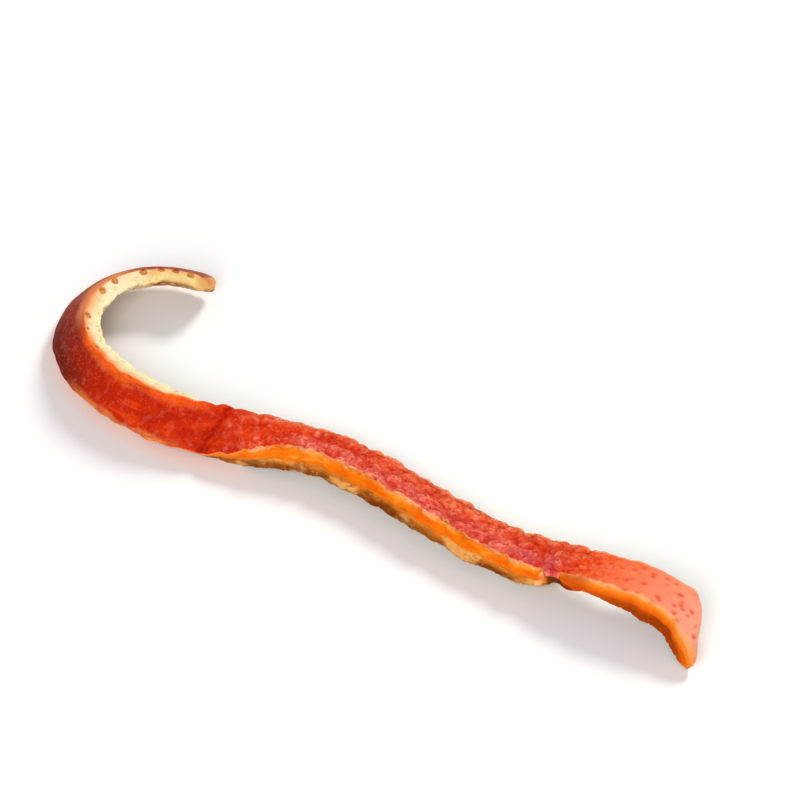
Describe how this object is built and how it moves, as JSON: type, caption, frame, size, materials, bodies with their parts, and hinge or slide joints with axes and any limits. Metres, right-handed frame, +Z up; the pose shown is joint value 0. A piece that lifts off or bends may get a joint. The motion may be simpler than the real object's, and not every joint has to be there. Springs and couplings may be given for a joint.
{
  "type": "orange peel",
  "caption": "Strip of dried orange peel: a thin tip curled into a hook, a sharp twist, a long run and a drooping blunt end, with red-orange skin over thick pale pith.",
  "frame": {"origin": "middle of the bounding box, on the surface that the strip rests on", "axes": "+Z up; +X from the hook towards the blunt end, along the longest extent; +Y away from the blunt end, towards the hook's tip"},
  "size_m": [0.0744, 0.0634, 0.0069],
  "materials": {
    "peel": "dried citrus skin, pebbled and faintly waxy, over matt fibrous pith with orange to cream cut sides"
  },
  "bodies": {
    "root": {"orange_peel": "peel"}
  },
  "joints": []
}
